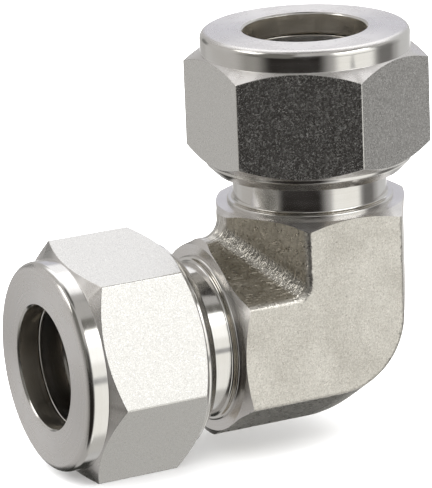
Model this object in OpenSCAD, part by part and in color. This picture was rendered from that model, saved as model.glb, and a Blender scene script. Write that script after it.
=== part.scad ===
// Ninety degree union elbow for 1/2 inch tube, with two nuts and twin ferrules.
// Origin: where the axes of the two ports cross. +Z runs up through the upper
// port and -X out through the side port. Every length along a port is measured
// from the origin. Millimetres and degrees.

/* [Tube] */
// Outside diameter of the tube that each port grips
tube_od = 12.7; // [12.6:0.05:12.8]
// Radial gap between the tube and the socket in the elbow
socket_gap = 0.07; // [0.05:0.01:0.1]
// Distance from the crossing of the axes to the step that stops the tube
tube_stop = 8.6; // [8:0.1:9.4]
// Diameter of the flow passage
flow_d = 10.4; // [9:0.1:10.8]

/* [Elbow body] */
// Width of the forging over its two large flats
flat_to_flat = 20.0; // [19.8:0.1:21]
// Width of one large flat
flat_w = 10.9; // [10:0.1:11.6]
// Width of the forging where its bevels would meet on the parting plane
parting_w = 22.5; // [22.3:0.1:22.7]
// Width of the trimmed land that cuts the bevels short along the parting plane
parting_land = 2.2; // [1.6:0.1:2.6]
// How far the outer bend's centre lies inside the crossing, along both axes
bend_inset = 1.95; // [1.5:0.05:2.5]
// Radius of the fillet in the inner corner
valley_r = 2.4; // [2:0.1:2.8]
// Length of an arm from the crossing to its turned shoulder
shoulder_at = 13.2; // [13:0.1:13.4]
// Diameter of the turned shoulder
shoulder_d = 19.8; // [19.5:0.1:20]
// Rounding of the shoulder's rim
shoulder_round = 0.7; // [0.4:0.1:0.9]
// Length of the tapered boss below the shoulder, where it grows out of the bevels
boss_length = 3.6; // [3:0.1:4]
// Angle between the side of that boss and the axis
boss_draft = 8; // [5:1:10]
// Angle of the turned chamfer on the corners of the forging
body_chamfer = 28; // [20:1:35]
// Diameter of the small step at the foot of the neck
step_d = 17.5; // [17:0.1:18]
// Height of that step
step_h = 0.4; // [0.3:0.1:0.6]
// Diameter of the neck between the shoulder and the thread
neck_d = 16.2; // [15.8:0.1:16.6]
// Distance from the crossing to the end of an arm, where the ferrule cone opens
arm_end = 25.0; // [24.5:0.1:25.2]
// Angle between one side of the ferrule cone and the axis
cone_angle = 20; // [18:1:22]
// Radius of the ferrule cone at its mouth
cone_mouth_r = 8.0; // [7.8:0.05:8.1]

/* [Thread] */
// Outside diameter of the cylinder that stands for the elbow's thread
male_d = 18.9; // [18.6:0.05:18.9]
// Radial running gap between that cylinder and the nut
thread_gap = 0.08; // [0.05:0.01:0.1]
// Where the thread starts, just outside the neck
thread_start = 18.2; // [17.8:0.1:18.6]
// Chamfer on the first thread
thread_chamfer = 0.8; // [0.5:0.1:0.9]

/* [Nut] */
// Width across the flats of a nut
nut_af = 22.225; // [22:0.025:22.4]
// Distance from the crossing to a nut's inner end
nut_inner_end = 16.55; // [16.4:0.05:16.7]
// Distance from the crossing to a nut's outer end
nut_outer_end = 31.5; // [31:0.1:32]
// Where the hexagon begins, next to the skirt ring
hex_start = 17.9; // [17.7:0.1:18.1]
// Where the hexagon ends, at the foot of the collar
hex_end = 29.25; // [29:0.05:29.4]
// Angle of the turned chamfers on the hexagon's corners
hex_chamfer = 32; // [28:1:35]
// Diameter of the round collar at the outer end
collar_d = 21.94; // [21.6:0.02:22]
// Rounding of the collar's outer edge
collar_round = 0.8; // [0.5:0.1:1]
// Diameter of the skirt ring at the inner end
skirt_d = 21.7; // [21.7:0.1:21.9]
// Chamfer under the skirt ring
skirt_chamfer = 1.05; // [0.8:0.05:1.05]
// Radius of a nut's tube bore
nut_bore_r = 6.45; // [6.43:0.01:6.5]
// Depth of that bore, down to the ferrule seat
nut_land = 2.3; // [2.2:0.1:2.4]
// Chamfer at the mouth of the tube bore
nut_mouth_chamfer = 0.2; // [0.1:0.1:0.4]
// Chamfer at the mouth of the nut's thread
thread_mouth_chamfer = 0.2; // [0.1:0.05:0.2]
// Radius of the space that holds the ferrules
ferrule_room_r = 8.45; // [8.4:0.05:8.6]
// How far the upper nut is turned about its axis
upper_nut_clock = 28.3; // [0:0.1:60]
// How far the side nut is turned about its axis
side_nut_clock = 22.1; // [0:0.1:60]

/* [Ferrules] */
// Inside radius of both ferrules
ferrule_bore_r = 6.4; // [6.38:0.01:6.42]
// Outside radius of both ferrules
ferrule_r = 8.25; // [8.1:0.05:8.3]
// Slope of the ferrule seat in the nut, from square to the axis
seat_slope = 15; // [10:1:20]
// Gap between neighbouring pieces when the nut is finger tight
rest_gap = 0.08; // [0.06:0.01:0.1]
// Length of the back ferrule's rim along the axis
back_rim = 1.25; // [1:0.05:1.4]
// Length of the front ferrule's rim along the axis
front_rim = 1.5; // [1.2:0.1:1.6]
// Angle between the side of the front ferrule's nose and the axis
nose_angle = 15; // [12:1:16]

/* [Hidden] */
$fn = 96;
steel = [0.72, 0.71, 0.69];
forged_steel = [0.70, 0.68, 0.64];
bright_steel = [0.82, 0.82, 0.83];
cut = 0.01;                             // overlap that keeps joined solids clear of flush faces
spare = 1;                              // how far a cutter or a hidden solid runs past a face
fillet_sink = 0.03;                     // how far the valley fillet dips below the faces it joins
drill_point = 59;                       // half the point angle of a twist drill
half_flat = flat_w / 2;
half_parting = parting_w / 2;
half_depth = flat_to_flat / 2;
bevel_run = half_parting - half_flat;
land = parting_land / 2;
land_inset = land * bevel_run / half_depth;
socket_r = tube_od / 2 + socket_gap;
flow_r = flow_d / 2;
cone_depth = (cone_mouth_r - socket_r) / tan(cone_angle);
flow_overrun = 0.65 * flow_r;           // how far each passage is drilled past the crossing
hex_r = nut_af / 2 / cos(30);
female_r = male_d / 2 + thread_gap;
seat_at = nut_outer_end - nut_land;     // where the tube bore meets the ferrule seat
seat_drop = (ferrule_room_r - nut_bore_r) * tan(seat_slope);
room_start = arm_end + 0.35;           // where the nut's thread ends and its ferrule space opens
room_slope = 0.4;                       // length over which that space opens
back_rear = seat_at - rest_gap;
rim_drop = (ferrule_r - ferrule_bore_r) * tan(seat_slope);
back_rim_front = back_rear - rim_drop - back_rim;
front_rear = back_rim_front - rest_gap;
front_rim_front = front_rear - front_rim;
nose_wall = 0.3;                        // thickness left at the tips of the ferrules' noses
nose_r = ferrule_bore_r + nose_wall;
nose_height = 1.05;                     // how far the front ferrule's nose rises to its rim
nose_root_r = nose_r + nose_height;
front_nose = front_rim_front - nose_height / tan(nose_angle);
pocket_r = 7.5;                         // mouth of the front ferrule's rear pocket
pocket_depth = pocket_r - ferrule_bore_r;
back_nose_r = pocket_r - 2 * rest_gap;
back_nose = front_rear - (back_nose_r - nose_r) + rest_gap;

// Places its children, drawn along +Z, on the side port's axis.
module on_side_port() {
    rotate([0, -90, 0]) children();
}

// Places its children on both ports.
module on_both_ports() {
    children();
    on_side_port() children();
}

// ---- elbow body ----

// Section of the forging, from its own axis out to one side.
function half_section(reach) = [
    [0, -half_depth], [reach + half_flat, -half_depth],
    [reach + half_parting - land_inset, -land],
    [reach + half_parting - land_inset, land],
    [reach + half_flat, half_depth], [0, half_depth]
];

module arm_section() {
    polygon(half_section(0));
    mirror([1, 0]) polygon(half_section(0));
}

// One arm of the forging, drawn along +Z, with its corners chamfered by turning.
module arm() {
    top_r = shoulder_d / 2;
    corner_r = norm([half_depth, half_flat]) + spare;
    intersection() {
        translate([0, 0, bend_inset])
            linear_extrude(shoulder_at - bend_inset) arm_section();
        rotate_extrude() polygon([
            [0, 0], [corner_r, 0],
            [corner_r, shoulder_at - (corner_r - top_r) * tan(body_chamfer)],
            [top_r, shoulder_at], [0, shoulder_at]
        ]);
    }
}

// The outer bend, turned about an axis that lies inside the crossing.
module bend() {
    translate([-bend_inset, 0, bend_inset])
        rotate([90, 0, 0])
            rotate([0, 0, -90])
                rotate_extrude(angle = 90) polygon(half_section(bend_inset));
}

// Fillet along one half of the valley where the arms meet.
module valley_fillet_half() {
    slope = bevel_run / half_depth;
    dive = atan(slope * sqrt(2));
    open_half = 90 - acos(sin(atan(slope)) * sin(atan(slope))) / 2;
    centre = valley_r / sin(open_half);
    touch = valley_r / tan(open_half);
    touch_x = touch * sin(open_half);
    touch_y = -touch * cos(open_half);
    run = half_depth / cos(dive) + 2 * valley_r;
    intersection() {
        translate([-half_flat, -half_depth, half_flat])
            rotate([0, -45, 0]) rotate([dive - 90, 0, 0])
                translate([0, 0, -valley_r]) linear_extrude(run) difference() {
                    polygon([
                        [0, spare], [touch_x + spare, touch_y + spare], [touch_x, touch_y],
                        [-touch_x, touch_y], [-touch_x - spare, touch_y + spare]
                    ]);
                    translate([0, -centre]) circle(valley_r + fillet_sink);
                }
        translate([-shoulder_at, -half_depth, 0])
            cube([shoulder_at, half_depth, shoulder_at]);
    }
}

// Tapered boss, round shoulder, step, neck and thread cylinder at the end of an arm.
module turned_end() {
    shoulder_r = shoulder_d / 2;
    step_r = step_d / 2;
    neck_r = neck_d / 2;
    male_r = male_d / 2;
    rim_at = shoulder_at - shoulder_round;
    boss_r = shoulder_r - boss_length * tan(boss_draft);
    ramp = male_r - neck_r;
    rotate_extrude() polygon(concat(
        [[0, bend_inset], [neck_r, bend_inset], [boss_r, rim_at - boss_length]],
        [for (a = [0:15:90])
            [shoulder_r + shoulder_round * (cos(a) - 1), rim_at + shoulder_round * sin(a)]],
        [[step_r, shoulder_at], [step_r, shoulder_at + step_h],
         [neck_r, shoulder_at + step_h], [neck_r, thread_start - ramp],
         [male_r, thread_start], [male_r, arm_end - thread_chamfer],
         [male_r - thread_chamfer, arm_end], [0, arm_end]]
    ));
}

// Everything bored out along one port: passage, tube socket and ferrule cone.
module port_bore() {
    point = flow_r / tan(drill_point);
    rotate_extrude() polygon([
        [0, -flow_overrun - point], [flow_r, -flow_overrun],
        [flow_r, tube_stop], [socket_r, tube_stop],
        [socket_r, arm_end - cone_depth], [cone_mouth_r, arm_end],
        [cone_mouth_r, arm_end + spare], [0, arm_end + spare]
    ]);
}

module elbow_body() {
    color(forged_steel) difference() {
        union() {
            on_both_ports() arm();
            bend();
            valley_fillet_half();
            mirror([0, 1, 0]) valley_fillet_half();
            on_both_ports() turned_end();
        }
        on_both_ports() port_bore();
    }
}

// ---- nut ----

// The hexagon with both ends chamfered by turning.
module nut_hexagon() {
    slope = tan(hex_chamfer);
    out = hex_r + spare;
    skirt_r = skirt_d / 2;
    collar_r = collar_d / 2;
    intersection() {
        translate([0, 0, hex_start])
            cylinder(h = hex_end - hex_start, r = hex_r, $fn = 6);
        rotate_extrude() polygon([
            [0, hex_start], [skirt_r, hex_start],
            [out, hex_start + (out - skirt_r) * slope],
            [out, hex_end - (out - collar_r) * slope],
            [collar_r, hex_end], [0, hex_end]
        ]);
    }
}

// Skirt ring, core and rounded collar.
module nut_round_parts() {
    collar_r = collar_d / 2;
    skirt_r = skirt_d / 2;
    round_at = nut_outer_end - collar_round;
    core_r = collar_r - spare;
    rotate_extrude() {
        polygon([
            [0, nut_inner_end], [skirt_r - skirt_chamfer, nut_inner_end],
            [skirt_r, nut_inner_end + skirt_chamfer], [skirt_r, hex_start + cut],
            [core_r, hex_start + cut], [core_r, hex_end - cut],
            [collar_r, hex_end - cut], [collar_r, round_at],
            [collar_r - collar_round, round_at],
            [collar_r - collar_round, nut_outer_end], [0, nut_outer_end]
        ]);
        translate([collar_r - collar_round, round_at]) intersection() {
            circle(collar_round);
            square(collar_round);
        }
    }
}

// Thread bore, ferrule space, seat and tube bore.
module nut_bore() {
    mouth_r = female_r + thread_mouth_chamfer;
    rotate_extrude() polygon([
        [0, nut_inner_end - spare], [mouth_r, nut_inner_end - spare],
        [mouth_r, nut_inner_end], [female_r, nut_inner_end + thread_mouth_chamfer],
        [female_r, room_start], [ferrule_room_r, room_start + room_slope],
        [ferrule_room_r, seat_at - seat_drop], [nut_bore_r, seat_at],
        [nut_bore_r, nut_outer_end - nut_mouth_chamfer],
        [nut_bore_r + nut_mouth_chamfer, nut_outer_end],
        [nut_bore_r + nut_mouth_chamfer, nut_outer_end + spare], [0, nut_outer_end + spare]
    ]);
}

module nut(clock) {
    color(steel) rotate([0, 0, clock]) difference() {
        union() {
            nut_hexagon();
            nut_round_parts();
        }
        nut_bore();
    }
}

// ---- ferrules ----

// Long tapered ring whose nose is pressed between tube and cone.
module front_ferrule() {
    color(bright_steel) rotate_extrude() polygon([
        [ferrule_bore_r, front_nose], [nose_r, front_nose],
        [nose_root_r, front_rim_front], [ferrule_r, front_rim_front],
        [ferrule_r, front_rear], [pocket_r, front_rear],
        [ferrule_bore_r, front_rear - pocket_depth]
    ]);
}

// Short ring whose nose sits in the pocket of the front ferrule.
module back_ferrule() {
    color(bright_steel) rotate_extrude() polygon([
        [ferrule_bore_r, back_nose], [nose_r, back_nose],
        [back_nose_r, back_nose + back_nose_r - nose_r],
        [back_nose_r, back_rim_front], [ferrule_r, back_rim_front],
        [ferrule_r, back_rear - rim_drop], [ferrule_bore_r, back_rear]
    ]);
}

elbow_body();
nut(upper_nut_clock);  // upper_nut
front_ferrule();  // upper_front_ferrule
back_ferrule();  // upper_back_ferrule
on_side_port() nut(side_nut_clock);  // side_nut
on_side_port() front_ferrule();  // side_front_ferrule
on_side_port() back_ferrule();  // side_back_ferrule
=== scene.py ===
"""Looks of the twin ferrule elbow fitting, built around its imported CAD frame.

Every piece is worked out in millimetres in its own port's frame, with local +Z out of the
port, and placed in the row frame in metres. The elbow is a forging worked out as a distance
field, then turned and bored with solids of revolution, as the real one is. Nuts and ferrules
are turned profiles, and the nut's hexagon is milled into its profile column by column.
"""

import math

import bmesh
import bpy
import numpy as np
from mathutils import Matrix, Vector, noise


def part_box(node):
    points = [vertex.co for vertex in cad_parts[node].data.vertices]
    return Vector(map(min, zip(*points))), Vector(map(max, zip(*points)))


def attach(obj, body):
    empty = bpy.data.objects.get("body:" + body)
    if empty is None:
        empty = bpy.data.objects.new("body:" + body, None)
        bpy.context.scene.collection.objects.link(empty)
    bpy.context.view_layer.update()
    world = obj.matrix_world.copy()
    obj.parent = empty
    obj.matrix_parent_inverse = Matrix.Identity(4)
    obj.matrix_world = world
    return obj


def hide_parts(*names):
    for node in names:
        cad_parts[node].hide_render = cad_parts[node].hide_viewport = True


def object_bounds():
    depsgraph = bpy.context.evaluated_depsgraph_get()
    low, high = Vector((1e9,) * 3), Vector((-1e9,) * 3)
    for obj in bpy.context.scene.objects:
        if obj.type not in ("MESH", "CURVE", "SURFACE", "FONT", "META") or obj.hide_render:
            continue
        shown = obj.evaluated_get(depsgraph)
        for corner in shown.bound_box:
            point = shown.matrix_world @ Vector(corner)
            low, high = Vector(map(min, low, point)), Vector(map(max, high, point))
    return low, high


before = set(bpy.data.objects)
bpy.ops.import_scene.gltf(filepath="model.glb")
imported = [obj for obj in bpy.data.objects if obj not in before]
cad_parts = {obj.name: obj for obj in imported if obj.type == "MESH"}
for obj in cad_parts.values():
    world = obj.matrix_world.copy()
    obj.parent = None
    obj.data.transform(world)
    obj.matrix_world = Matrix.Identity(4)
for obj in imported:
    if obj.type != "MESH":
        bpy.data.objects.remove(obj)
cad_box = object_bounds()

MM = 0.001


def node_box(name):
    """Lowest and highest corner of a CAD node, in millimetres."""
    low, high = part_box(name)
    return np.array(low) / MM, np.array(high) / MM


# ---- sizes in millimetres, along a port from the crossing of the axes ----

elbow_high = node_box("elbow_body")[1]
nut_low, nut_high = node_box("upper_nut")
front_low, front_high = node_box("upper_front_ferrule")
back_low, back_high = node_box("upper_back_ferrule")

ARM_END = elbow_high[2]
HALF_DEPTH = elbow_high[1]             # axis to a large flat
PARTING_FACE = elbow_high[0]           # axis to the land along the parting plane
HALF_FLAT = 5.45                       # half the width of a large flat
HALF_PARTING = 11.25                   # axis to where the bevels would meet on the parting plane
LAND_HALF = 1.1                        # half the width of the trimmed land along that plane
BEND_INSET = 1.95                      # the outer bend's centre, inside the crossing
VALLEY_R = 2.4                         # inner corner's fillet where the lands meet
BEVEL_VALLEY_R = 1.3                   # the same where the bevels meet
VALLEY_SPAN = 1.5                      # depth over which one turns into the other
FORGED_EDGE_R = 0.28                   # rounding of the forging's edges
LAND_EDGE_R = 0.3                      # the same beside the land
SHOULDER_AT = 13.2
SHOULDER_R = 9.9
STOCK_REACH = SHOULDER_AT + 1          # an arm of the forging before it is faced
BOSS_DRAFT = math.radians(8)           # taper of the boss that grows out of the bevels
BOSS_START = 7.0                       # where the boss starts, well inside the bevels
BOSS_BLEND = 0.5
BODY_CHAMFER = math.radians(28)
STEP_R = 8.75
STEP_H = 0.4
STEP_EDGE_R = 0.22
STEP_FILLET_R = 0.3
NECK_R = 8.1

PITCH = 1.27                           # 20 threads an inch
THREAD_START = 18.2
THREAD_CHAMFER = 0.8
THREAD_ROWS = 14                       # rows of vertices for each turn of a thread
MALE_CREST = 9.45
MALE_ROOT = 8.76
FEMALE_ROOT = 9.58
FEMALE_CREST = 8.88
FLANK = 5 / 16                         # share of the pitch that one flank takes
FLANK_EASE = 0.45                      # how far a flank runs smoothly into crest and root, from 0 to 1
MALE_LAND = 1 / 16                     # half the crest's flat, as a share of the pitch
FEMALE_LAND = 0.095                    # the same for the groove that clears it

CONE_MOUTH_R = 8.0
CONE_ANGLE = math.radians(20)
SOCKET_R = 6.42
TUBE_STOP = 8.6
FLOW_R = 5.2
WELD_REACH = 0.001                     # vertices closer than this are one, after the cuts
FLOW_OVERRUN = 0.65 * FLOW_R           # how far a passage runs past the crossing of the axes
DRILL_POINT = math.radians(59)         # half the angle of a drill's point
POINT_R = 0.05                         # radius of the small disc that closes a bore's profile on the axis
DISC_R = 0.5                           # the same for an arm's profile, where that metal is bored away

NUT_IN = nut_low[2]
NUT_OUT = nut_high[2]
ACROSS_FLATS = 22.225
HEX_START = 17.9
HEX_END = 29.25
HEX_CHAMFER = math.radians(32)
HEX_CORNER_R = 0.22                    # rounding of the upright edges of the hexagon
HEX_EDGE_R = 0.1                       # rounding where a flat meets its turned chamfer
COLLAR_R = 10.97
COLLAR_ROUND = 0.8
SKIRT_R = 10.85
SKIRT_CHAMFER = 1.05
THREAD_MOUTH = 0.15                    # chamfer where the thread starts
NUT_MOUTH = 0.2                        # chamfer where the tube goes in
NUT_BORE_R = 6.45
NUT_SEAT = NUT_OUT - 2.3
SEAT_SLOPE = math.radians(15)
ROOM_START = ARM_END + 0.35
ROOM_R = 8.45

FERRULE_R = front_high[0]
FERRULE_BORE_R = 6.4
FERRULE_NOSE_R = 6.7
POCKET_R = 7.5
FRONT_RIM = 1.5
FRONT_NOSE_RISE = 1.05                 # from the nose out to the root of its taper
BACK_NOSE_GAP = 0.16                   # between the back ferrule's nose and the front one's pocket
BACK_RIM_FRONT = front_high[2] + 0.08

# Each port's axes: columns are where its local X, Y and Z point in the row frame.
PORTS = {
    "upper": Matrix(((1, 0, 0), (0, 1, 0), (0, 0, 1))),
    "side": Matrix(((0, 0, -1), (0, 1, 0), (1, 0, 0))),
}
NUT_CLOCK = {"upper": math.radians(28.3), "side": math.radians(22.1)}

TURNED, FLAT, BORED, FACED = range(4)


# ---- meshes ----

def make_object(name, vertices, faces, materials=(), face_materials=None, rotation=None):
    """A mesh object from millimetre vertices, turned by a port's rotation."""
    mesh = bpy.data.meshes.new(name)
    mesh.from_pydata((np.asarray(vertices) * MM).tolist(), [], faces)
    for material in materials:
        mesh.materials.append(material)
    if face_materials is not None:
        mesh.polygons.foreach_set("material_index", face_materials)
    mesh.validate()
    made = bpy.data.objects.new(name, mesh)
    bpy.context.scene.collection.objects.link(made)
    if rotation is not None:
        made.matrix_world = rotation.to_4x4()
    return made


def shade(piece, sharp_degrees):
    """Smooth shading that keeps real edges and lets large faces set the normals."""
    piece.data.shade_smooth()
    piece.data.set_sharp_from_angle(angle=math.radians(sharp_degrees))
    weighted = piece.modifiers.new("large_faces_first", "WEIGHTED_NORMAL")
    weighted.keep_sharp = True
    weighted.weight = 80


def arc_points(corner, before, after, radius, steps):
    """Points of the arc that rounds one corner of a profile, for every column at once."""
    to_before = before - corner
    to_after = after - corner
    to_before /= np.linalg.norm(to_before, axis=-1, keepdims=True)
    to_after /= np.linalg.norm(to_after, axis=-1, keepdims=True)
    middle = to_before + to_after
    middle /= np.linalg.norm(middle, axis=-1, keepdims=True)
    half = np.arccos(np.clip((to_before * middle).sum(-1, keepdims=True), -1, 1))
    centre = corner + middle * radius / np.sin(half)
    start = corner + to_before * radius / np.tan(half) - centre
    end = corner + to_after * radius / np.tan(half) - centre
    sweep = math.pi - 2 * half
    shares = np.linspace(0, 1, steps + 1)
    return [
        centre + (start * np.sin((1 - t) * sweep) + end * np.sin(t * sweep)) / np.sin(sweep)
        for t in shares
    ]


def round_profile(corners, columns):
    """Rows of a closed profile. Each corner is (r, z, rounding, kind), and r and z may differ by column.
    Returns the rows as an array (row, column, 2) and the kind of the band after each row."""
    spots = []
    for r, z, _, _ in corners:
        spot = np.empty((columns, 2))
        spot[:, 0] = r
        spot[:, 1] = z
        spots.append(spot)
    rows = []
    kinds = []
    for i, (_, _, rounding, kind) in enumerate(corners):
        if rounding == 0:
            rows.append(spots[i])
            kinds.append(kind)
            continue
        steps = max(3, round(rounding * 10))
        after = spots[(i + 1) % len(spots)]
        arc = arc_points(spots[i], spots[i - 1], after, rounding, steps)
        rows += arc
        kinds += [corners[i - 1][3]] * (steps // 2) + [kind] * (steps + 1 - steps // 2)
    return np.array(rows), kinds


def ring_faces(row_count, columns, closed):
    """Quads of a surface of revolution. Closed joins the last row to the first."""
    last = row_count if closed else row_count - 1
    i, j = np.meshgrid(np.arange(last), np.arange(columns), indexing="ij")
    below = (i + 1) % row_count
    beside = (j + 1) % columns
    quads = np.stack([
        i * columns + j, below * columns + j, below * columns + beside, i * columns + beside,
    ], axis=-1)
    return quads.reshape(-1, 4)


def turn(rows, angles):
    """Vertices of profile rows (row, column, 2) turned round Z at the columns' angles."""
    r = rows[..., 0]
    return np.stack([
        r * np.cos(angles), r * np.sin(angles), rows[..., 1],
    ], axis=-1).reshape(-1, 3)


def even_angles(columns):
    """Angles of columns spread evenly round the axis."""
    return np.arange(columns) * 2 * math.pi / columns


def solid_of_revolution(name, profile, material, rotation, columns=144):
    """A closed solid from profile rows (r, z) or (r per column, z), with flat ends."""
    angles = even_angles(columns)
    rows = np.empty((len(profile), columns, 2))
    for i, (r, z) in enumerate(profile):
        rows[i, :, 0] = r
        rows[i, :, 1] = z
    faces = ring_faces(len(profile), columns, closed=False)[:, ::-1].tolist()
    last = (len(profile) - 1) * columns
    faces.append(list(range(columns))[::-1])
    faces.append([last + j for j in range(columns)])
    return make_object(name, turn(rows, angles), faces, [material], rotation=rotation)


# ---- threads ----

def groove_share(z, angles, land):
    """0 on the crest of a right hand thread and 1 in its groove, with softened corners."""
    turns = z / PITCH - angles / (2 * math.pi)
    away = np.abs(turns - np.round(turns))
    share = np.clip((away - land) / FLANK, 0, 1)
    eased = share * share * (3 - 2 * share)
    return eased * FLANK_EASE + share * (1 - FLANK_EASE)


def male_thread(z, angles):
    return MALE_CREST - (MALE_CREST - MALE_ROOT) * groove_share(z, angles, MALE_LAND)


def female_thread(z, angles):
    return FEMALE_ROOT - (FEMALE_ROOT - FEMALE_CREST) * groove_share(z, angles, FEMALE_LAND)


# ---- nut ----

def hexagon_columns():
    """Angles round a nut from one of its corners, close together at corners, and the radius at each."""
    apothem = ACROSS_FLATS / 2
    across = 26
    corner_steps = 6
    corner_centre = (apothem - HEX_CORNER_R) / math.cos(math.pi / 6)
    tangent = math.atan((apothem - HEX_CORNER_R) * math.tan(math.pi / 6) / apothem)
    along = np.linspace(-tangent, tangent, across + 1)
    lean = np.linspace(0, math.pi / 3, corner_steps + 1)[1:-1] - math.pi / 6
    corner_x = corner_centre + HEX_CORNER_R * np.cos(lean)
    corner_y = HEX_CORNER_R * np.sin(lean)
    corner_angles = math.pi / 6 + np.arctan2(corner_y, corner_x)
    angles = np.concatenate([along, corner_angles])
    radii = np.concatenate([apothem / np.cos(along), np.hypot(corner_x, corner_y)])
    sextants = np.arange(6)[:, None] * math.pi / 3
    return (angles + sextants + math.pi / 6).ravel(), np.tile(radii, 6)


def nut_corners(hexagon):
    """The nut's profile from the tube bore's mouth outwards, down the outside and up the inside."""
    slope = math.tan(HEX_CHAMFER)
    seat_drop = (ROOM_R - NUT_BORE_R) * math.tan(SEAT_SLOPE)
    skirt_foot_r = SKIRT_R - SKIRT_CHAMFER
    thread_mouth_r = FEMALE_ROOT + THREAD_MOUTH
    return [
        (NUT_BORE_R + NUT_MOUTH, NUT_OUT, 0.06, FACED),
        (COLLAR_R, NUT_OUT, COLLAR_ROUND, TURNED),
        (COLLAR_R, HEX_END, 0.12, FACED),
        (hexagon, HEX_END - (hexagon - COLLAR_R) * slope, HEX_EDGE_R, FLAT),
        (hexagon, HEX_START + (hexagon - SKIRT_R) * slope, HEX_EDGE_R, FACED),
        (SKIRT_R, HEX_START, 0.08, TURNED),
        (SKIRT_R, NUT_IN + SKIRT_CHAMFER, 0.3, TURNED),
        (skirt_foot_r, NUT_IN, 0.03, TURNED),
        (thread_mouth_r, NUT_IN, 0, BORED),
        (FEMALE_ROOT, ROOM_START, 0, BORED),
        (ROOM_R, ROOM_START + 0.4, 0.05, BORED),
        (ROOM_R, NUT_SEAT - seat_drop, 0.1, BORED),
        (NUT_BORE_R, NUT_SEAT, 0.14, BORED),
        (NUT_BORE_R, NUT_OUT - NUT_MOUTH, 0.06, TURNED),
    ]


def nut(port, materials):
    """Hexagon nut with a rounded collar, a skirt ring and a real thread inside."""
    angles, hexagon = hexagon_columns()
    columns = len(angles)
    angles = angles + NUT_CLOCK[port]
    rows, kinds = round_profile(nut_corners(hexagon), columns)
    mouth_row = max(i for i, row in enumerate(rows) if row[0, 1] == NUT_IN)
    mouth_r = rows[mouth_row, 0, 0]
    thread_rows = int((ROOM_START - NUT_IN) / PITCH * THREAD_ROWS)
    z = np.linspace(NUT_IN, ROOM_START, thread_rows + 2)[1:-1, None] * np.ones(columns)
    radius = np.maximum(female_thread(z, angles), mouth_r - (z - NUT_IN))
    thread = np.stack([radius, z], axis=-1)
    rows = np.concatenate([rows[:mouth_row + 1], thread, rows[mouth_row + 1:]])
    kinds[mouth_row + 1:mouth_row + 1] = [BORED] * thread_rows
    face_kinds = np.repeat(kinds, columns)
    piece = make_object(f"{port}_hex_nut", turn(rows, angles), ring_faces(len(rows), columns, True).tolist(),
                        materials, face_kinds, PORTS[port])
    shade(piece, 34)
    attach(piece, f"{port}_nut")
    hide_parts(f"{port}_nut")


# ---- ferrules ----

def ferrule_ring(name, port, corners, material, node):
    """A ferrule from its profile's corners, each (r, z, rounding)."""
    columns = 144
    rows, _ = round_profile([(r, z, rounding, TURNED) for r, z, rounding in corners], columns)
    piece = make_object(name, turn(rows, even_angles(columns)), ring_faces(len(rows), columns, True).tolist(),
                        [material], rotation=PORTS[port])
    shade(piece, 34)
    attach(piece, node)
    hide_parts(node)


def front_ferrule(port, material):
    """Long tapered ring, profile from its rear pocket outwards and down to the nose."""
    rear = front_high[2]
    nose = front_low[2]
    rim_front = rear - FRONT_RIM
    nose_root_r = FERRULE_NOSE_R + FRONT_NOSE_RISE
    ferrule_ring(f"{port}_front_ring", port, [
        (POCKET_R, rear, 0.08), (FERRULE_R, rear, 0.15), (FERRULE_R, rim_front, 0.15),
        (nose_root_r, rim_front, 0.05), (FERRULE_NOSE_R, nose, 0.06), (FERRULE_BORE_R, nose, 0.04),
        (FERRULE_BORE_R, rear - (POCKET_R - FERRULE_BORE_R), 0.05),
    ], material, f"{port}_front_ferrule")


def back_ferrule(port, material):
    """Short ring, profile from its sloped rear outwards and down to the nose."""
    rear = back_high[2]
    nose = back_low[2]
    nose_root_r = POCKET_R - BACK_NOSE_GAP
    rim_drop = (FERRULE_R - FERRULE_BORE_R) * math.tan(SEAT_SLOPE)
    ferrule_ring(f"{port}_back_ring", port, [
        (FERRULE_BORE_R, rear, 0.15), (FERRULE_R, rear - rim_drop, 0.15), (FERRULE_R, BACK_RIM_FRONT, 0.12),
        (nose_root_r, BACK_RIM_FRONT, 0.05), (FERRULE_NOSE_R, nose, 0.06), (FERRULE_BORE_R, nose, 0.04),
    ], material, f"{port}_back_ferrule")


# ---- elbow ----

def round_max(a, b, radius):
    """The larger of two distances, with the edge between the two solids rounded."""
    return np.minimum(-radius, np.maximum(a, b)) + np.hypot(np.maximum(a + radius, 0),
                                                            np.maximum(b + radius, 0))


def round_min(a, b, radius):
    """The smaller of two distances, with the valley between the two solids filled."""
    return -round_max(-a, -b, radius)


def soft_min(a, b, blend):
    """The smaller of two distances whose surfaces cross at a low angle, gently joined."""
    share = np.clip(1 - np.abs(a - b) / blend, 0, 1)
    return np.minimum(a, b) - share * share * blend / 4


def side_faces(out, depth):
    """Distance to one side of an arm: its two bevels and the land along the parting plane."""
    run = HALF_PARTING - HALF_FLAT
    bevel = (HALF_DEPTH * out + run * depth - HALF_DEPTH * HALF_PARTING) / math.hypot(HALF_DEPTH, run)
    return round_max(bevel, out - PARTING_FACE, LAND_EDGE_R)


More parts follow.
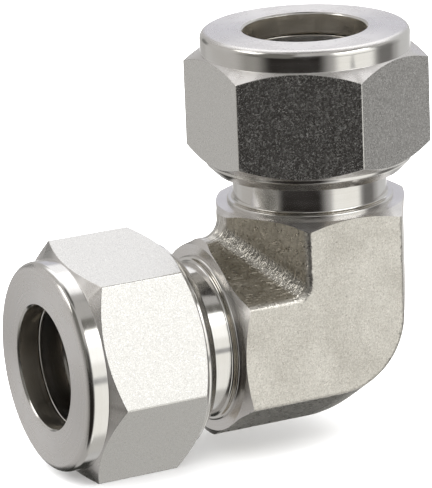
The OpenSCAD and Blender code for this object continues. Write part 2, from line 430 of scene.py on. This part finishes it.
def forging_distance(points):
    """Signed distance to the forging before it is turned and bored."""
    x, y, z = points[..., 0], points[..., 1], points[..., 2]
    depth = np.abs(y)
    from_bend_x = x + BEND_INSET
    from_bend_z = BEND_INSET - z
    out = (np.hypot(np.maximum(from_bend_x, 0), np.maximum(from_bend_z, 0))
           + np.minimum(np.maximum(from_bend_x, from_bend_z), 0) - BEND_INSET)
    outside = side_faces(out, depth)
    valley_r = np.interp(depth, [LAND_HALF, LAND_HALF + VALLEY_SPAN], [VALLEY_R, BEVEL_VALLEY_R])
    inside = round_min(side_faces(-x, depth), side_faces(z, depth), valley_r)
    body = round_max(outside, inside, LAND_EDGE_R)
    for across, along in ((x, z), (z, -x)):
        boss_r = SHOULDER_R - (SHOULDER_AT - along) * math.tan(BOSS_DRAFT)
        boss = (np.hypot(across, y) - boss_r) * math.cos(BOSS_DRAFT)
        body = soft_min(body, np.maximum(boss, BOSS_START - along), BOSS_BLEND)
    body = round_max(body, depth - HALF_DEPTH, FORGED_EDGE_R)
    return np.maximum(body, np.maximum(z - STOCK_REACH, -x - STOCK_REACH))


def slope_of(distance, points):
    """Gradient of a distance field by central differences."""
    step = 0.02
    return np.stack([
        (distance(points + step * axis) - distance(points - step * axis)) / (2 * step)
        for axis in np.eye(3)
    ], axis=-1)


def surface_of(distance, low, high, cell):
    """Quads over the zero surface of a distance field: one vertex in each cell that it crosses."""
    axes = [np.arange(a, b + cell, cell) for a, b in zip(low, high)]
    grid = np.stack(np.meshgrid(*axes, indexing="ij"), axis=-1)
    value = distance(grid)
    inside = value < 0
    shape = np.array(value.shape) - 1
    corners = [(i, j, k) for i in (0, 1) for j in (0, 1) for k in (0, 1)]
    count = sum(inside[i:i + shape[0], j:j + shape[1], k:k + shape[2]].astype(int) for i, j, k in corners)
    crossed = (count > 0) & (count < len(corners))
    number = np.full(shape, -1)
    number[crossed] = np.arange(crossed.sum())
    vertices = grid[:-1, :-1, :-1][crossed] + cell / 2
    rounds = 6
    least_slope = 0.05
    for _ in range(rounds):
        gradient = slope_of(distance, vertices)
        size = (gradient ** 2).sum(-1, keepdims=True)
        move = distance(vertices)[:, None] * gradient / np.maximum(size, least_slope)
        vertices = vertices - np.clip(move, -cell / 2, cell / 2)
    quads = []
    for axis in range(3):
        u, v = (axis + 1) % 3, (axis + 2) % 3
        first = np.moveaxis(inside, (axis, u, v), (0, 1, 2))
        cells = np.moveaxis(number, (axis, u, v), (0, 1, 2))
        change = first[:-1, 1:-1, 1:-1].astype(int) - first[1:, 1:-1, 1:-1].astype(int)
        ring = np.stack([cells[:, :-1, :-1], cells[:, 1:, :-1], cells[:, 1:, 1:], cells[:, :-1, 1:]], axis=-1)
        quads.append(ring[change == 1])
        quads.append(ring[change == -1][:, ::-1])
    return vertices, np.concatenate(quads)


def valley_wrinkles(points):
    """Height of the wrinkles that forging leaves across the fillet in the inner corner."""
    x, y, z = points.T
    tallest = 0.06
    valley_half = 1.6
    from_valley = np.abs(x + z)
    in_valley = np.clip(valley_half - from_valley, 0, 1) * np.clip((z - x) / 2 - HALF_FLAT, 0, 1)
    folds = [noise.noise(Vector((depth * 1.5, cross * 0.5, 0))) for depth, cross in zip(y, x + z)]
    return tallest * in_valley * np.array(folds)


def forging(material):
    """The forging's own skin, slightly uneven as forged and blasted steel is."""
    cell = 0.22
    margin = 1.3
    reach = STOCK_REACH + margin
    low = np.array([-reach, -HALF_DEPTH - margin, -PARTING_FACE - margin])
    high = np.array([PARTING_FACE + margin, HALF_DEPTH + margin, reach])
    vertices, quads = surface_of(forging_distance, low, high, cell)
    normals = slope_of(forging_distance, vertices)
    normals /= np.linalg.norm(normals, axis=-1, keepdims=True)
    wave_height = 0.01
    inset = 0.03                       # sinks the skin, so that its waves stay inside the CAD solid
    wave = np.array([noise.noise(Vector(v * 0.35)) + 0.5 * noise.noise(Vector(v * 1.1)) for v in vertices])
    rise = wave * wave_height + valley_wrinkles(vertices) - inset
    vertices = vertices + normals * rise[:, None]
    return make_object("elbow_forging", vertices, quads.tolist(), [material])


def end_cut(port, material):
    """What turning removes round the end of an arm: all beyond the shoulder and its chamfer."""
    far_r = 16.0
    drop = (far_r - SHOULDER_R) * math.tan(BODY_CHAMFER)
    beyond = SHOULDER_AT + 6
    return solid_of_revolution(f"{port}_end_cut", [
        (DISC_R, SHOULDER_AT), (SHOULDER_R, SHOULDER_AT), (far_r, SHOULDER_AT - drop),
        (far_r, beyond), (DISC_R, beyond),
    ], material, PORTS[port])


def arc_rows(centre_r, centre_z, radius, start, end, steps=4):
    """Profile points of an arc between two angles, in degrees."""
    turns = np.radians(np.linspace(start, end, steps + 1))
    return [(centre_r + radius * math.cos(a), centre_z + radius * math.sin(a)) for a in turns]


def threaded_end(port, material):
    """Step, neck, thread and end face of an arm."""
    columns = 160
    edge = STEP_EDGE_R
    fillet = STEP_FILLET_R
    step_top = SHOULDER_AT + STEP_H
    buried = SHOULDER_AT - 3
    angles = even_angles(columns)
    profile = [(DISC_R, buried), (STEP_R, buried)]
    profile += arc_rows(STEP_R - edge, step_top - edge, edge, 0, 90)
    profile += arc_rows(NECK_R + fillet, step_top + fillet, fillet, 270, 180)
    ramp = MALE_CREST - NECK_R
    first = THREAD_START - ramp
    for z in np.linspace(first, ARM_END, int((ARM_END - first) / PITCH * THREAD_ROWS)):
        limit = min(NECK_R + z - first, MALE_CREST - THREAD_CHAMFER + (ARM_END - z))
        profile.append((np.minimum(male_thread(z, angles), limit), z))
    profile.append((DISC_R, ARM_END))
    return solid_of_revolution(f"{port}_threaded_end", profile, material, PORTS[port], columns)


def port_bore(port, material):
    """Flow passage, tube socket and ferrule cone, as one cutter."""
    cone_depth = (CONE_MOUTH_R - SOCKET_R) / math.tan(CONE_ANGLE)
    point = (FLOW_R - POINT_R) / math.tan(DRILL_POINT)
    lip = 0.1
    flare = 0.3
    clear = ARM_END + 0.2
    return solid_of_revolution(f"{port}_bore", [
        (POINT_R, -FLOW_OVERRUN - point), (FLOW_R, -FLOW_OVERRUN), (FLOW_R, TUBE_STOP - lip),
        (FLOW_R + lip, TUBE_STOP), (SOCKET_R, TUBE_STOP), (SOCKET_R, ARM_END - cone_depth),
        (CONE_MOUTH_R, ARM_END), (CONE_MOUTH_R + flare, clear), (POINT_R, clear),
    ], material, PORTS[port])


def combine(base, tool, operation):
    """Applies one boolean step to base and removes the tool."""
    step = base.modifiers.new(tool.name, "BOOLEAN")
    step.operation = operation
    step.solver = "MANIFOLD"
    step.material_mode = "TRANSFER"
    step.object = tool
    bpy.context.view_layer.update()
    result = bpy.data.meshes.new_from_object(base.evaluated_get(bpy.context.evaluated_depsgraph_get()))
    base.modifiers.clear()
    base.data = result
    bpy.data.objects.remove(tool)


def weld(piece, reach):
    """Joins vertices closer than reach, so that no collapsed face is left where two cuts meet."""
    work = bmesh.new()
    work.from_mesh(piece.data)
    bmesh.ops.remove_doubles(work, verts=work.verts, dist=reach)
    work.to_mesh(piece.data)
    work.free()


def elbow(forged, faced, turned, bored):
    """The forging, faced and threaded at both arms and bored through."""
    body = forging(forged)
    for port in PORTS:
        combine(body, end_cut(port, faced[port]), "DIFFERENCE")
    for port in PORTS:
        combine(body, threaded_end(port, turned[port]), "UNION")
    for port in PORTS:
        combine(body, port_bore(port, bored[port]), "DIFFERENCE")
    weld(body, WELD_REACH * MM)
    body.name = "elbow_forged_body"
    shade(body, 26)
    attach(body, "elbow")
    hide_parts("elbow_body")


# ---- node trees ----

class Graph:
    """Writes a shader node tree as nested calls."""

    def __init__(self, tree):
        self.tree = tree
        tree.nodes.clear()

    def add(self, kind, inputs=None, **settings):
        made = self.tree.nodes.new(kind)
        for name, value in settings.items():
            setattr(made, name, value)
        for key, value in (inputs or {}).items():
            if isinstance(value, bpy.types.NodeSocket):
                self.tree.links.new(value, made.inputs[key])
            else:
                made.inputs[key].default_value = value
        return made

    def maths(self, operation, *values):
        return self.add("ShaderNodeMath", dict(enumerate(values)), operation=operation).outputs[0]

    def vector(self, operation, *values):
        made = self.add("ShaderNodeVectorMath", dict(enumerate(values)), operation=operation)
        return made.outputs["Value" if operation == "LENGTH" else "Vector"]

    def parts(self, vector):
        return self.add("ShaderNodeSeparateXYZ", {0: vector}).outputs

    def join(self, x, y, z):
        return self.add("ShaderNodeCombineXYZ", {0: x, 1: y, 2: z}).outputs[0]

    def millimetres(self):
        place = self.add("ShaderNodeTexCoord").outputs["Object"]
        made = self.add("ShaderNodeVectorMath", {0: place, "Scale": 1 / MM}, operation="SCALE")
        return made.outputs[0]

    def noise(self, vector, scale, detail=2.0, roughness=0.5, kind="3D"):
        return self.add("ShaderNodeTexNoise", {
            "Vector": vector, "Scale": scale, "Detail": detail, "Roughness": roughness,
        }, noise_dimensions=kind).outputs[0]

    def cells(self, vector, scale, output="Distance"):
        return self.add("ShaderNodeTexVoronoi", {"Vector": vector, "Scale": scale}).outputs[output]

    def remap(self, value, low, high, to_low, to_high, smooth=False):
        return self.add("ShaderNodeMapRange", {
            "Value": value, "From Min": low, "From Max": high, "To Min": to_low, "To Max": to_high,
        }, interpolation_type="SMOOTHSTEP" if smooth else "LINEAR").outputs[0]

    def blend(self, share, first, second, mode="MIX"):
        made = self.add("ShaderNodeMix", data_type="RGBA", blend_type=mode)
        for socket, value in zip((made.inputs[0], made.inputs[6], made.inputs[7]), (share, first, second)):
            if isinstance(value, bpy.types.NodeSocket):
                self.tree.links.new(value, socket)
            else:
                socket.default_value = value
        return made.outputs[2]

    def facets(self, vector, scale, tilt):
        """Surface normal that each tiny cell tips its own way, a few of them much more than most."""
        tip = self.vector("SUBTRACT", self.cells(vector, scale, "Color"), (0.5, 0.5, 0.5))
        size = self.maths("MULTIPLY", self.vector("LENGTH", tip), tilt)
        push = self.add("ShaderNodeVectorMath", {0: tip, "Scale": size}, operation="SCALE").outputs[0]
        normal = self.add("ShaderNodeNewGeometry").outputs["Normal"]
        return self.vector("NORMALIZE", self.vector("ADD", normal, push))

    def bump(self, height, depth, before=None):
        inputs = {"Height": height, "Distance": depth * MM, "Strength": 1.0}
        if before is not None:
            inputs["Normal"] = before
        return self.add("ShaderNodeBump", inputs).outputs[0]


def new_material(name):
    material = bpy.data.materials.new(name)
    material.use_nodes = True
    return material, Graph(material.node_tree)


def finish_metal(graph, colour, roughness, normal, tangent=None, anisotropy=0.0):
    """Ends a steel material with its shader."""
    inputs = {"Base Color": colour, "Metallic": 1.0, "Roughness": roughness, "Normal": normal}
    if tangent is not None:
        inputs["Tangent"] = tangent
        inputs["Anisotropic"] = anisotropy
        inputs["Anisotropic Rotation"] = 0.25      # reflections smear across the rings, not along them
    shader = graph.add("ShaderNodeBsdfPrincipled", inputs)
    graph.add("ShaderNodeOutputMaterial", {"Surface": shader.outputs[0]})


def port_place(graph, port):
    """Position in millimetres in a port's own frame, inside an object that isn't turned to it."""
    place = graph.millimetres()
    if port != "side":
        return place
    x, y, z = graph.parts(place)
    return graph.join(z, y, graph.maths("MULTIPLY", x, -1))


def around(graph, port, place):
    """Direction round a port's axis, in world space, and the distance from that axis."""
    x, y, _ = graph.parts(place)
    radius = graph.vector("LENGTH", graph.join(x, y, 0))
    back_x = graph.maths("MULTIPLY", y, -1)
    if port == "side":
        local = graph.join(0, x, back_x)
    else:
        local = graph.join(back_x, x, 0)
    world = graph.add("ShaderNodeVectorTransform", {0: local}, vector_type="VECTOR",
                      convert_from="OBJECT", convert_to="WORLD").outputs[0]
    return graph.vector("NORMALIZE", world), radius


def turned_steel(name, port=None, colour=(0.73, 0.72, 0.70, 1), rough=(0.10, 0.18), groove=0.0008,
                 anisotropy=0.5):
    """Bright lathe finish: fine rings round the axis that smear reflections along it."""
    material, graph = new_material(name)
    place = port_place(graph, port)
    tangent, radius = around(graph, port, place)
    height = graph.parts(place)[2]
    profile = graph.join(radius, height, 0)
    rings = graph.noise(profile, 9.0, 4.0, 0.7, "2D")
    broad = graph.noise(profile, 1.4, 2.0, 0.5, "2D")
    stain = graph.noise(place, 0.35, 3.0, 0.6)
    dark = (colour[0] * 0.93, colour[1] * 0.92, colour[2] * 0.90, 1)
    shade_share = graph.maths("ADD", graph.maths("MULTIPLY", rings, 0.5), graph.maths("MULTIPLY", stain, 0.5))
    tone = graph.blend(graph.remap(shade_share, 0.35, 0.65, 0, 1), dark, colour)
    roughness = graph.remap(graph.maths("ADD", broad, stain), 0.7, 1.3, *rough)
    normal = graph.bump(rings, groove)
    finish_metal(graph, tone, roughness, normal, tangent, anisotropy)
    return material


def faced_steel(name, port=None, rough=(0.24, 0.32)):
    """Faces cut square to the axis: the lathe leaves them duller, with rings that fan reflections out."""
    return turned_steel(name, port, (0.74, 0.725, 0.715, 1), rough, 0.0006, 0.8)


def bored_steel(name, port=None):
    """Inside walls: coarser rings and a warmer tone."""
    return turned_steel(name, port, (0.76, 0.71, 0.62, 1), (0.16, 0.26), 0.001, 0.4)


def milled_steel(name):
    """Satin flats of a nut: a fine sparkling grain with faint strokes along the axis."""
    material, graph = new_material(name)
    place = graph.millimetres()
    x, y, z = graph.parts(place)
    strokes = graph.noise(graph.join(x, y, graph.maths("MULTIPLY", z, 0.06)), 4.0, 3.0, 0.6)
    grain = graph.noise(place, 11.0, 2.0, 0.6)
    tone = graph.blend(graph.remap(grain, 0.35, 0.65, 0, 1), (0.59, 0.58, 0.555, 1), (0.70, 0.69, 0.665, 1))
    fleck = graph.maths("POWER", graph.parts(graph.cells(place, 11.0, "Color"))[0], 5.0)
    satin = graph.remap(strokes, 0.3, 0.7, 0.165, 0.21)
    roughness = graph.maths("ADD", satin, graph.maths("MULTIPLY", fleck, 0.30))
    normal = graph.bump(grain, 0.003, graph.facets(place, 11.0, 0.2))
    finish_metal(graph, tone, roughness, normal)
    return material


def forged_steel(name):
    """Bead blasted forging: overlapping dents, a speckle, slow stains, wrinkles in the inner corner with
    painted shade, tinted brown, on the bevels there, and a smooth streaked land along the parting plane,
    where the flash was trimmed."""
    material, graph = new_material(name)
    place = graph.millimetres()
    x, y, z = graph.parts(place)
    depth = graph.maths("ABSOLUTE", y)
    land = graph.remap(depth, LAND_HALF - 0.05, LAND_HALF + 0.1, 1, 0, True)
    blasted = graph.maths("SUBTRACT", 1, land)
    inwards = graph.maths("MINIMUM", graph.maths("MULTIPLY", x, -1), z)
    corner = graph.maths("MULTIPLY", graph.remap(inwards, HALF_FLAT - 1, HALF_FLAT + 0.5, 0, 1, True),
                         graph.remap(depth, HALF_DEPTH - 0.2, HALF_DEPTH - 0.7, 0, 1, True))
    blasted_corner = graph.maths("MULTIPLY", corner, blasted)

    dents = graph.cells(place, 4.0)
    grain = graph.noise(place, 5.5, 3.0, 0.65)
    lumps = graph.noise(place, 1.6, 2.0, 0.5)
    stain = graph.noise(place, 0.22, 3.0, 0.55)
    rough_skin = graph.maths("ADD", graph.maths("MULTIPLY", dents, 0.6), graph.maths("MULTIPLY", grain, 0.8))
    trim = graph.noise(graph.vector("MULTIPLY", place, (0.06, 1, 0.06)), 5.0, 3.0, 0.6)
    height = graph.remap(land, 0, 1, rough_skin, graph.maths("MULTIPLY", trim, 0.8))
    across = graph.maths("ADD", x, z)
    from_valley = graph.maths("ABSOLUTE", across)
    in_valley = graph.maths("MULTIPLY", blasted_corner, graph.remap(from_valley, 0.8, 1.5, 1, 0, True))
    skin_tilt = graph.remap(blasted_corner, 0, 1, 0.35, 0.42)
    tilt = graph.maths("MULTIPLY", blasted, graph.remap(in_valley, 0, 1, skin_tilt, 0.1))
    fine = graph.bump(height, 0.03, graph.facets(place, 6.0, tilt))
    strokes = graph.noise(graph.join(y, graph.maths("MULTIPLY", across, 0.22), 0), 4.0, 2.0, 0.6, "2D")
    folded = graph.maths("MULTIPLY", blasted_corner, graph.remap(from_valley, 0.8, 3.0, 1, 0.4, True))
    folds = graph.maths("MULTIPLY", strokes, folded)
    normal = graph.bump(folds, 0.16, graph.bump(lumps, 0.03, fine))

    speckle = graph.remap(graph.maths("ADD", grain, graph.maths("MULTIPLY", stain, 0.5)), 0.55, 0.95, 0, 1)
    tone = graph.blend(speckle, (0.48, 0.458, 0.412, 1), (0.74, 0.717, 0.662, 1))
    # Painted shade, tinted brown: darkens the bevels of the inner corner, where they mirror each other, and
    # leaves the valley itself lighter.
    painted_shade_share = graph.maths("MULTIPLY", blasted_corner, graph.remap(in_valley, 0, 1, 1, 0.2))
    tone = graph.blend(painted_shade_share, tone, graph.blend(1.0, tone, (0.64, 0.61, 0.555, 1), "MULTIPLY"))
    streaks = graph.blend(graph.remap(trim, 0.35, 0.6, 0, 1), (0.42, 0.40, 0.36, 1), (0.68, 0.665, 0.63, 1))
    tone = graph.blend(land, tone, streaks)
    skin_roughness = graph.remap(in_valley, 0, 1, graph.remap(lumps, 0.3, 0.7, 0.25, 0.34), 0.2)
    roughness = graph.remap(land, 0, 1, skin_roughness, graph.remap(trim, 0.3, 0.7, 0.2, 0.3))
    finish_metal(graph, tone, roughness, normal)
    return material


# ---- studio ----

def sky(graph, direction):
    """Brightness of the studio by direction: soft panels laid over a grey room. Each is
    (azimuth, elevation, half width, half height, soft edge, brightness), with angles in degrees,
    and a later one lies over those before it."""
    panels = [
        (150, 0, 34, 40, 20, (0.56, 0.545, 0.53)),
        (176, 22, 8, 12, 10, (0.30, 0.28, 0.25)),
        (111, -14, 4, 10, 9, (0.60, 0.59, 0.58)),
        (101, 5, 6, 5, 6, (0.22, 0.22, 0.21)),
        (-175, -14, 8, 30, 20, (0.34, 0.33, 0.31)),
        (-8, -10, 22, 30, 14, (0.41, 0.405, 0.40)),
        (24, -10, 14, 50, 14, (0.66, 0.66, 0.66)),
        (-10, -66, 25, 10, 10, (0.62, 0.61, 0.59)),
        (-20, -10, 7, 28, 10, (0.19, 0.185, 0.18)),
        (-61, -12, 18, 56, 10, (1.13, 1.12, 1.08)),
        (-60, 27, 20, 10, 8, (1.40, 1.40, 1.38)),
        (-58, 38, 20, 5, 4, (3.0, 3.0, 3.0)),
        (-65, -5, 26, 1.5, 3.5, (0.45, 0.45, 0.45)),
        (-47, 51, 20, 3.5, 3, (0.16, 0.155, 0.14)),
        (-130.5, -24, 25, 44, 20, (0.02, 0.017, 0.015)),
        (58, 15, 12, 6, 8, (0.66, 0.66, 0.72)),
        (58, 53, 37, 8, 14, (1.6, 1.6, 1.62)),
        (55, 32, 14, 6, 6, (1.2, 1.2, 1.23)),
        (60, -14, 16, 5, 5, (0.92, 0.92, 0.92)),
        (27, -36, 8, 10, 8, (1.1, 1.09, 1.04)),
        (82, -44, 30, 11, 7, (0.04, 0.04, 0.036)),
        (-158, 35, 22, 27, 10, (0.15, 0.145, 0.13)),
        (160, 47, 16, 6, 6, (2.4, 2.36, 2.27)),
        (0, 90, 180, 10, 8, (0.08, 0.078, 0.07)),
    ]
    x, y, z = graph.parts(direction)
    azimuth = graph.maths("DEGREES", graph.maths("ARCTAN2", y, x))
    elevation = graph.maths("DEGREES", graph.maths("ARCSINE", z))
    grey_room = (0.5, 0.49, 0.48, 1)
    tone = grey_room
    for panel_azimuth, panel_elevation, half_width, half_height, soft, colour in panels:
        turned = graph.maths("SUBTRACT", azimuth, panel_azimuth)
        wrapped = graph.maths("ABSOLUTE", graph.maths("WRAP", turned, 180, -180))
        beside = graph.remap(wrapped, half_width, half_width + soft, 1, 0, True)
        lift = graph.maths("ABSOLUTE", graph.maths("SUBTRACT", elevation, panel_elevation))
        above = graph.remap(lift, half_height, half_height + soft, 1, 0, True)
        tone = graph.blend(graph.maths("MULTIPLY", beside, above), tone, (*colour, 1))
    return tone


def studio():
    """White room for the floor and the background, and soft panels for the steel to mirror."""
    world = bpy.data.worlds.new("studio")
    bpy.context.scene.world = world
    world.use_nodes = True
    graph = Graph(world.node_tree)
    direction = graph.add("ShaderNodeTexCoord").outputs["Generated"]
    path = graph.add("ShaderNodeLightPath").outputs
    even_white = (3.0, 3.0, 3.0, 1)
    light = graph.blend(path["Is Glossy Ray"], even_white, sky(graph, direction))
    background = graph.add("ShaderNodeBackground", {"Color": light, "Strength": 1.0})
    graph.add("ShaderNodeOutputWorld", {"Surface": background.outputs[0]})
    bpy.context.scene.view_settings.view_transform = "Standard"


def floor():
    """Plain pale floor at the height that the fitting lies on."""
    material, graph = new_material("pale_floor")
    tone = graph.blend(graph.noise(graph.millimetres(), 0.02, 2.0), (0.9, 0.9, 0.9, 1), (0.93, 0.93, 0.93, 1))
    shader = graph.add("ShaderNodeBsdfDiffuse", {"Color": tone})
    graph.add("ShaderNodeOutputMaterial", {"Surface": shader.outputs[0]})
    half = 3000.0
    level = cad_box[0].z / MM
    corners = [(-half, -half, level), (half, -half, level), (half, half, level), (-half, half, level)]
    plane = make_object("floor", corners, [(0, 1, 2, 3)], [material])
    plane.visible_glossy = False


def camera():
    """The photograph's viewing angle, from a long lens."""
    azimuth, elevation, roll = math.radians(-26.194), math.radians(16.555), math.radians(-2.302)
    distance = 415.1
    slide_left = 1.082
    slide_down = 0.342
    target = Vector((-10, 0, 10))
    back = Vector((math.sin(azimuth) * math.cos(elevation), -math.cos(azimuth) * math.cos(elevation),
                   math.sin(elevation)))
    level = Vector((math.cos(azimuth), math.sin(azimuth), 0))
    upright = back.cross(level)
    right = level * math.cos(roll) + upright * math.sin(roll)
    up = upright * math.cos(roll) - level * math.sin(roll)
    place = target + back * distance - right * slide_left - up * slide_down
    data = bpy.data.cameras.new("camera")
    data.lens = 293.95
    data.sensor_width = 36
    data.clip_start = 0.01
    made = bpy.data.objects.new("camera", data)
    bpy.context.scene.collection.objects.link(made)
    made.matrix_world = Matrix.Translation(place * MM) @ Matrix((right, up, back)).transposed().to_4x4()
    bpy.context.scene.camera = made


# ---- the scene ----

nut_materials = [
    turned_steel("nut_turned"), milled_steel("nut_flats"), bored_steel("nut_bore"), faced_steel("nut_face"),
]
ferrule_material = turned_steel("ferrule_turned", colour=(0.78, 0.77, 0.76, 1))
for port in PORTS:
    nut(port, nut_materials)
    front_ferrule(port, ferrule_material)
    back_ferrule(port, ferrule_material)
elbow(
    forged_steel("elbow_forged"),
    {port: faced_steel(f"elbow_faced_{port}", port, (0.20, 0.28)) for port in PORTS},
    {port: turned_steel(f"elbow_turned_{port}", port) for port in PORTS},
    {port: bored_steel(f"elbow_bore_{port}", port) for port in PORTS},
)
studio()
floor()
camera()
